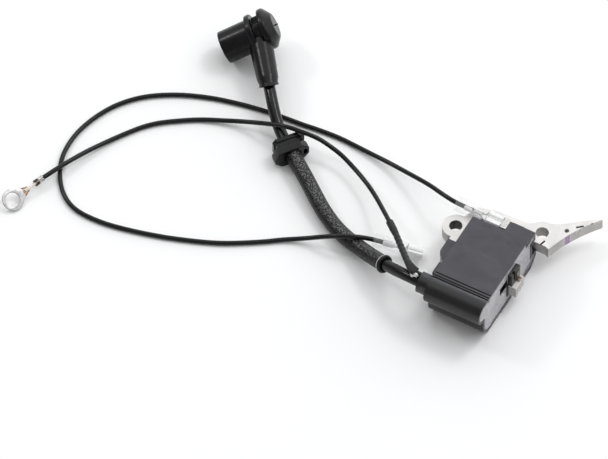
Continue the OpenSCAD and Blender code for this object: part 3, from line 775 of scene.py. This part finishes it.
def braid(line, radius, carriers, lay, width, lift):
    """Plain weave of flat yarns in both hands around a line."""
    s = distance_along(line)
    t, side, up = frames(line)
    phase = 2 * math.pi * s / lay
    slope = math.atan(2 * math.pi * radius / lay)
    parts = []
    for hand in (1, -1):
        r = radius + hand * lift * np.cos(carriers * phase)
        for j in range(carriers):
            a = hand * phase + 2 * math.pi * j / carriers
            outward = np.cos(a)[:, None] * side + np.sin(a)[:, None] * up
            around = np.cos(a)[:, None] * up - np.sin(a)[:, None] * side
            across = math.cos(slope) * around - hand * math.sin(slope) * t
            middle = line + r[:, None] * outward
            edge = 0.5 * width * across
            drop = 0.35 * lift * outward
            ribbon = np.stack([middle - edge - drop, middle, middle + edge - drop], 1)
            parts.append(loft(ribbon, closed=False, caps=False))
    return joined(*parts)


def make_sleeve():
    """Braided sleeve over its dark lining."""
    line = stretch_between(lead_line, LEAD_ROUTE, SLEEVE_STATIONS, 0.00016)
    yarn = braid(line, YARN_RADIUS, carriers=18, lay=0.021, width=0.00098, lift=0.0001)
    lining = tube(line[::6], SLEEVE_LINING, 36)
    return piece("braided_sleeve", joined(yarn, lining), BRAID, "module",
                 ["lead_sleeve"], sharp=60)


def make_collar():
    """Moulded end collar, leaning a little, with a light grey rim towards the sleeve painted as the
    rim's highlight.
    """
    station = np.array(LEAD_ROUTE[SLEEVE_STATIONS[0]])
    before, after = (np.array(LEAD_ROUTE[SLEEVE_STATIONS[0] + i]) for i in (-1, 1))
    heading = before - after
    body = [(.00254, .0001), (.0037, .0001), (.0039, .0003), (.0039, .0010), (.0034, .0014),
            (.00254, .0014), (.00254, .0001)]
    rim = [(.0035, -.0001), (.0039, -.0001), (.0041, .0001), (.0041, .00026), (.0035, .00026),
           (.0035, -.0001)]
    where = along(station, heading) @ Z_TO_X
    collar = piece("sleeve_end_collar", placed(lathe(round_corners(body, .0003, 3), 64), where),
                   SHRINK_BLACK, "module", ["sleeve_collar"])
    # Painted highlight: the rim ring is coloured light grey to stand for the bright line of light
    # along the sleeve's end rim.
    rim_highlight = body_finish("rim_painted_highlight", grey(176), grey(228), 0.35)
    edge = piece("sleeve_rim", placed(lathe(round_corners(rim, .0001, 2), 64), where), rim_highlight,
                 "module")
    return collar, edge


sleeve = make_sleeve()
collar, rim = make_collar()


def make_shrink():
    """Heat shrink tube: pinched on the wire, stepped at its end and split at its foot."""
    line = stretch_between(earth_line, EARTH_ROUTE, SHRINK_STATIONS, 0.0004)
    s = distance_along(line)
    share = s / s[-1]
    turn = np.arange(28) * 2 * math.pi / 28
    lumps = 0.00007 * np.sin(s * 2100) * np.sin(3.1 * share)
    foot = 0.00045 * np.exp(-(share / 0.15) ** 2)
    ridge = np.cos(2 * turn)[None] * (0.0001 * np.exp(-share / 0.5) + foot)[:, None]
    end = 0.00024 / (1 + np.exp(-(share - 0.8) * 60))
    radius = (0.00134 + lumps + 0.5 * foot + end)[:, None] + ridge
    radius = np.clip(radius, 0.00108, 0.0026)
    return piece("shrink_tube", tube(line, radius, 28), SHRINK_BLACK, "module",
                 ["earth_wire_sleeve"], sharp=50)


def blob(spheres, voxel, smooth, name):
    """Closed mesh around overlapping balls, each (centre, radius), run together like a drop."""
    bm = bmesh.new()
    for centre, radius in spheres:
        bmesh.ops.create_icosphere(bm, subdivisions=4, radius=radius,
                                   matrix=Matrix.Translation(centre))
    mesh = bpy.data.meshes.new(name)
    bm.to_mesh(mesh)
    bm.free()
    return remeshed(mesh, voxel, smooth)


def remeshed(mesh, voxel, smooth, factor=0.5):
    """The mesh as one closed skin, with its creases softened."""
    obj = bpy.data.objects.new(mesh.name + "_work", mesh)
    bpy.context.scene.collection.objects.link(obj)
    remesh = obj.modifiers.new("remesh", "REMESH")
    remesh.mode = "VOXEL"
    remesh.voxel_size = voxel
    relax = obj.modifiers.new("relax", "SMOOTH")
    relax.factor, relax.iterations = factor, smooth
    graph = bpy.context.evaluated_depsgraph_get()
    graph.update()
    result = bpy.data.meshes.new_from_object(obj.evaluated_get(graph))
    bpy.data.objects.remove(obj)
    return result


shrink = make_shrink()
RESIN_BALLS = [
    ((-.0222, -.0312, .0216), .0011), ((-.0236, -.0318, .0212), .0009),
    ((-.0230, -.0304, .0208), .0010), ((-.0246, -.0311, .0211), .0006),
]
finished("resin_drop", blob(RESIN_BALLS, 0.00012, 6, "resin_drop"), RESIN, "module",
         sharp=60)


# -------------------- sheet metal terminals

def mirrored(half):
    """Cross-section in (Y, Z) from one wing tip over the base to the other."""
    left = [(-y, z) for y, z in reversed(half[1:])]
    return left + half


def barrel(radius, opening, z=0.0):
    """Wings rolled round a wire; opening is in degrees."""
    turn = np.radians(np.linspace(0, 180 - opening, 8))
    return mirrored([(radius * math.sin(a), z - radius * math.cos(a)) for a in turn])


def channel(width, height, base):
    """Flat strip with its edges turned up."""
    half = [(0, base), (width * .33, base), (width * .66, base), (width * .9, base),
            (width, base + .1 * height), (width, base + .4 * height),
            (width, base + .7 * height), (width, base + height)]
    return mirrored(half)


def receptacle(width, height, curl):
    """Blade box whose edges roll over and down onto the blade."""
    half = [(0, -height), (width * .5, -height), (width * .92, -height), (width, -height * .6),
            (width, height * .5), (width * .9, height), (width * .45, height * .95),
            (width * .16, height * (1 - curl))]
    return mirrored(half)


def sheet_loft(sections):
    """Open skin through (x, section) pairs."""
    rings = [[(x, y, z) for y, z in section] for x, section in sections]
    return loft(rings, closed=False, caps=False)


def thicken(obj, thickness):
    shell = obj.modifiers.new("thickness", "SOLIDIFY")
    shell.thickness, shell.offset, shell.use_even_offset = thickness, 0.0, True
    rounding = obj.modifiers.new("edges", "BEVEL")
    rounding.width, rounding.segments, rounding.limit_method = thickness * 0.25, 2, "ANGLE"
    return obj


def connector_sheet():
    """Push-on terminal: insulation wings, strand wings, neck and blade receptacle."""
    strand = barrel(.00085, 12, .0002)
    return sheet_loft([
        (.0040, barrel(.00122, 16)), (.0042, barrel(.00118, 10)), (.0058, barrel(.00122, 6)),
        (.0074, barrel(.00118, 10)), (.0076, barrel(.00122, 20)),
        (.0080, channel(.00085, .0006, -.0009)), (.0085, channel(.0008, .0006, -.0009)),
        (.0088, barrel(.00098, 25, .0001)), (.0090, strand), (.0104, strand), (.0118, strand),
        (.0120, barrel(.00098, 25, .0001)), (.0124, channel(.0009, .0007, -.0009)),
        (.0136, channel(.0014, .0009, -.00095)), (.0145, channel(.0026, .0016, -.00098)),
        (.01465, receptacle(.0027, .00098, .35)), (.0149, receptacle(.00278, .00098, .75)),
        (.0180, receptacle(.00278, .00098, .8)), (.0211, receptacle(.00278, .00098, .75)),
        (.0214, receptacle(.0027, .00098, .4)),
    ])


def clear_tube():
    """Flat clear sleeve with rounded lips, open at both ends."""
    spread, outer, film, length = .00145, .00228, .0004, .0235

    def ring(x, r):
        turn = np.linspace(0, 2 * math.pi, 49)[:-1]
        return [(x, spread * np.sign(round(math.cos(a), 9)) + r * math.cos(a), r * math.sin(a))
                for a in turn]

    inner = outer - film
    stations = [(0, inner), (0, inner + .00012), (.0001, outer - .00005), (.0003, outer)]
    stations += [(x * length, outer - .00003 * math.sin(9 * x)) for x in np.linspace(.03, .97, 16)]
    stations += [(length - .0003, outer), (length - .0001, outer - .00005),
                 (length, inner + .00012), (length, inner)]
    rings = [ring(x, r) for x, r in stations]
    rings += [ring(x * length, inner) for x in np.linspace(.97, .03, 16)]
    rings.append(rings[0])
    return loft(rings, caps=False)


def make_connector(prefix, where, terminal_node, sleeve_node):
    """Push-on terminal in its clear sleeve."""
    point, direction, roll = where
    matrix = along(point, direction) @ spin(roll, "X")
    terminal = piece(prefix + "_terminal", placed(connector_sheet(), matrix), BRIGHT_TIN, "module",
                     [terminal_node], sharp=40)
    thicken(terminal, SHEET)
    cover = piece(prefix + "_clear_sleeve", placed(clear_tube(), matrix), CLEAR, "module",
                  [sleeve_node], sharp=60)
    return terminal, cover


make_connector("blade", BLADE_CONNECTOR, "blade_connector", "blade_connector_sleeve")
free_end = make_connector("free", FREE_CONNECTOR, "free_connector", "free_connector_sleeve")


def ring_frame():
    return along(RING_AT, TAIL_DIR) @ spin(RING_LEAN, "X")


def make_ring_terminal():
    """Ring tongue, bare copper neck, two rails, a scorched crimp and the wire's bright barrel."""
    def part(name, sections, material, slot):
        made = piece(name, placed(sheet_loft(sections), ring_frame()), material, "module",
                     sharp=40)
        return thicken(made, SHEET)

    outer = [(.0061, .0018), (.0051, .0021), (.0041, .0028)]
    outer += arc((0, 0), .0047, 44, 316, 60)
    outer += [(.0041, -.0028), (.0051, -.0021), (.0061, -.0018)]
    plate = slab([outer, hole((0, 0), .0032)], soft_edges(-.00128, -.00052, .00018))
    tongue = piece("ring_tongue", placed(plate, ring_frame()), DULL_TIN, "module",
                   ["ring_terminal"])
    neck = part("ring_copper_neck", [
        (.0054, channel(.0019, .0002, -.0009)), (.0062, channel(.0017, .0004, -.0009)),
        (.0070, channel(.0014, .0006, -.0009)), (.0078, channel(.0011, .0008, -.0009)),
        (.0083, channel(.0010, .0009, -.0009)),
    ], crimp_finish(), "contact_copper")
    rails = part("ring_rails", [
        (.0083, channel(.0009, .0009, -.0009)), (.0096, channel(.0008, .0008, -.0009)),
        (.0110, channel(.0008, .0008, -.0009)), (.0122, channel(.0009, .0009, -.0009)),
    ], BRIGHT_TIN, "tinned_metal")
    crimp = part("ring_strand_barrel", [
        (.0121, barrel(.00135, 40, .0002)), (.0125, barrel(.00128, 12)), (.0132, barrel(.00122, 8)),
        (.0138, barrel(.0013, 14)),
    ], SCORCHED, "contact_copper")
    wire_barrel = part("ring_wire_barrel", [
        (.0139, barrel(.00128, 20)), (.0142, barrel(.0012, 10)), (.0151, barrel(.00117, 6)),
        (.0162, barrel(.0012, 10)), (.0165, barrel(.00128, 20)),
    ], TIN, "tinned_metal")
    return tongue, neck, rails, crimp, wire_barrel


def crimp_finish():
    """Copper showing through the plating in the middle, scorched brown at both ends."""
    f = Finish("crimp_copper", Metallic=0.3)
    away = f.add("VectorMath", {"operation": "DISTANCE"})
    f.tree.links.new(f.place, away.inputs[0])
    middle = ring_frame() @ Vector((.0068, 0, 0))
    away.inputs[1].default_value = middle
    reach = f.math("ADD", away.outputs["Value"], f.math("MULTIPLY", f.noise(1800, 2), 0.0006))
    end = f.ramp(f.math("MULTIPLY", reach, 400), (0.6, 0.0), (0.8, 1.0))
    clean = f.ramp(f.noise(1500, 3), (0.3, rgb(236, 190, 150)), (0.65, rgb(246, 222, 196)))
    f.set("Base Color", f.mix(end, clean, rgb(96, 62, 40)))
    f.spread("Roughness", f.noise(1300, 3), 0.28, 0.5)
    f.bump(f.noise(2600, 3), 0.00002)
    return f.material


ring_parts = make_ring_terminal()


def make_strands():
    """Bare strands from the copper neck into the barrels, lying in a gentle twist."""
    x = np.linspace(.0066, .0150, 40)
    parts = []
    for j in range(7):
        turn = x * 420 + j * 2 * math.pi / 6
        r = 0.0 if j == 6 else .0005
        line = np.stack([x, r * np.cos(turn), r * np.sin(turn)], 1)
        parts.append(placed(tube(line, .00024, 8), ring_frame()))
    finish = body_finish("tinned_strands", rgb(226, 216, 200), rgb(250, 246, 240), 0.35, 900,
                         .00001, 0.2)
    return piece("earth_wire_strands", joined(*parts), finish, "module",
                 ["earth_strands"], sharp=60)


strands = make_strands()


# -------------------- grommet and boot

def make_grommet():
    """Rubber grommet: a block-like flange, the groove and a thin one, with a slot for a wire."""
    bore = hole((0, 0), SLEEVE_RADIUS + .00006)
    second = arc((-.0057, .0008), .0008, 180, 0, 13) + arc((-.0057, -.0008), .0008, 0, -180, 13)
    thick = [(-.0044, -.0050), (.0048, -.0050), (.0080, -.0020), (.0082, .0006), (.0062, .0042),
             (-.0042, .0046), (-.0074, .0018), (-.0074, -.0016)]
    thin = [(-.0050, -.0046), (.0048, -.0046), (.0062, -.0024), (.0062, .0032), (.0048, .0048),
            (-.0052, .0048), (-.0078, .0028), (-.0078, -.0010)]
    waist = [(-.0057, -.0043), (.0057, -.0043), (.0057, .0043), (-.0057, .0043)]
    low, groove_low, groove_high, high = GROMMET_STATIONS
    flanges = [
        slab([thick, bore, second], soft_edges(low, groove_low, .0003, 3)),
        slab([waist, bore, second], [(groove_low - .0002, 0), (groove_high + .0002, 0)]),
        slab([thin, bore, second], soft_edges(groove_high, high, .0003, 3)),
    ]
    where = along(GROMMET_AT, GROMMET_DIR) @ Z_TO_X
    parts = [placed(part, where) for part in flanges]
    return piece("rubber_grommet", joined(*parts), RUBBER, "grommet",
                 ["lead_grommet"])


grommet = make_grommet()


def boot_frame():
    return along(BOOT_AT, STEM_DIR) @ spin(BOOT_ROLL, "X")


def barrel_frame():
    return boot_frame() @ spin(90 + BOOT_ANGLE, "Y")


def stem_frame():
    return boot_frame() @ spin(-90, "Y")


def make_boot():
    """Right-angled plug boot, moulded in one piece."""
    barrel_profile = [
        (0, -.0080), (.0052, -.0080), (.00905, -.0050), (.00905, -.0029), (.0066, -.0029),
        (.0066, .0007), (.0088, .0007), (.0088, .0031), (.0072, .0031), (.0071, MOUTH - .0002),
        (.0069, MOUTH), (.0054, MOUTH), (.0052, MOUTH - .0008), (.0052, .0034), (0, .0034),
    ]
    stem_profile = [
        (0, .0050), (.0052, .0050), (.0046, STEM_LENGTH - .0040), (.0040, STEM_LENGTH - .0014),
        (.0042, STEM_LENGTH - .0008), (.0042, STEM_LENGTH), (.00262, STEM_LENGTH),
        (.00256, STEM_LENGTH - .0003), (.00256, STEM_LENGTH - .0050), (0, STEM_LENGTH - .0052),
    ]
    stem, faces = lathe(round_corners(stem_profile, .0003, 3), 96)
    upward = np.array(stem_frame().to_3x3().inverted() @ Vector(STEM_UPPER_SIDE))
    near_end = np.clip((stem[:, 2] - STEM_LENGTH + .006) / .005, 0, 1)
    stem[:, 2] += STEM_SLANT * near_end * (stem[:, :2] @ upward[:2])
    solid = joined(
        placed(lathe(round_corners(barrel_profile, .0006, 4), 128), barrel_frame()),
        placed((stem, faces), stem_frame()),
    )
    mesh = bpy.data.meshes.new("boot_work")
    mesh.from_pydata([tuple(v) for v in solid[0]], [], solid[1])
    skin = remeshed(mesh, BOOT_VOXEL, 2)
    verts = np.array([v.co for v in skin.vertices])
    faces = [tuple(f.vertices) for f in skin.polygons]
    shape = joined((verts, faces), boot_ribs(), boot_nib(), boot_nub())
    return piece("spark_plug_boot", shape, RUBBER, "boot",
                 ["plug_boot"], sharp=50)


def boot_ribs():
    """Grip ribs in the neck between the two flanges."""
    parts = []
    for degrees in range(0, 360, 8):
        rib = slab([[(-.00016, -.0014), (.00016, -.0014), (.00016, .0014), (-.00016, .0014)]],
                   soft_edges(-.0002, .00022, .00012, 2))
        stand = barrel_frame() @ spin(degrees, "Z") @ Matrix.Translation((.0067, 0, -.0011))
        parts.append(placed(rib, stand @ spin(90, "Y") @ spin(90, "Z")))
    return joined(*parts)


def boot_nib():
    """Sprue left at the middle of the back."""
    profile = [(0, .0004), (.0006, .0004), (.00035, -.0003), (.0002, -.0012), (0, -.0013)]
    return placed(lathe(profile, 16), barrel_frame() @ Matrix.Translation((0, 0, -.0079)))


def boot_nub():
    """Small key on the mouth's rim."""
    nub = slab([[(-.0006, -.0005), (.0006, -.0005), (.0006, .0005), (-.0006, .0005)]],
               soft_edges(-.0004, .0003, .0002, 3))
    shift = Matrix.Translation((.0069, 0, MOUTH - .0006))
    return placed(nub, barrel_frame() @ spin(170, "Z") @ shift @ spin(90, "Y"))


boot = make_boot()


# -------------------- core and housing

def make_core():
    """Twelve punched laminations; the top one has the staking marks."""
    pitch = (CORE_TOP - CORE_BASE) / LAMINATIONS
    plain = outline("core_stack", CORE_BASE, -1)
    marked = outline("core_stack", CORE_TOP, 1)
    draws = np.random.default_rng(4).uniform(0, .00004, LAMINATIONS)
    parts = []
    for i in range(LAMINATIONS):
        low = CORE_BASE + i * pitch
        high = low + pitch * 0.95
        slip = float(draws[i])
        layers = [(low, slip + .00005), (low + .00006, slip), (high - .00006, slip),
                  (high, slip + .00005)]
        parts.append(slab(marked if i == LAMINATIONS - 1 else plain, layers))
    return piece("lamination_stack", joined(*parts), STEEL, "module",
                 ["core_stack"], sharp=30)


def make_housing():
    """Moulded shell with soft edges, and crisper ones at the three grooves by the boss."""
    def in_grooves(spot):
        return abs(spot.y - GROOVES_Y) < GROOVES_REACH and spot.z > GROOVES_ABOVE

    mesh = rounded_copy("housing_shell", .0004, in_grooves, .00018)
    return finished("coil_housing", mesh, PLASTIC, "module",
                    ["housing_shell"], sharp=40)


def make_potting():
    """Resin fill, its edges rounded where it meets the shell."""
    return finished("potting_resin", rounded_copy("potting_compound", .00015), EPOXY, "module",
                    ["potting_compound"], sharp=40)


make_core()
make_housing()
make_potting()
finished("bobbin_collar", rounded_copy("primary_bobbin", .00015), COLLAR_BLACK, "module",
         ["primary_bobbin"])
finished("core_earth_leaf", rounded_copy("core_contact", .00006), BRONZE, "module",
         ["core_contact"])


# -------------------- CAD nodes that stay

CARRIED = {
    "primary_winding": winding_finish("copper_wire", rgb(120, 56, 24), rgb(206, 118, 62), 900),
    "secondary_bobbin": body_finish("bobbin_brown", rgb(92, 54, 32), rgb(122, 76, 46)),
    "secondary_winding": winding_finish("fine_copper_wire", rgb(132, 50, 20), rgb(214, 104, 52),
                                        3000),
    "bobbin_pins": TIN,
    "circuit_board": body_finish("board_laminate", rgb(20, 84, 50), rgb(34, 112, 66), 0.35, 1400),
    "power_transistor": body_finish("component_black", grey(20), grey(38), 0.5, 1600),
    "control_chip": body_finish("component_black_matt", grey(22), grey(40), 0.55, 2200),
    "timing_capacitor": body_finish("capacitor_film", rgb(196, 150, 52), rgb(222, 180, 84), 0.35,
                                    700),
    "board_resistors": body_finish("resistor_body", rgb(196, 170, 128), rgb(220, 196, 156), 0.4,
                                   1200),
    "high_voltage_pin": BRASS,
    "stop_blade": TIN,
    "boot_clip": SPRING,
}
for name, material in CARRIED.items():
    nodes[name].data.materials.clear()
    nodes[name].data.materials.append(material)
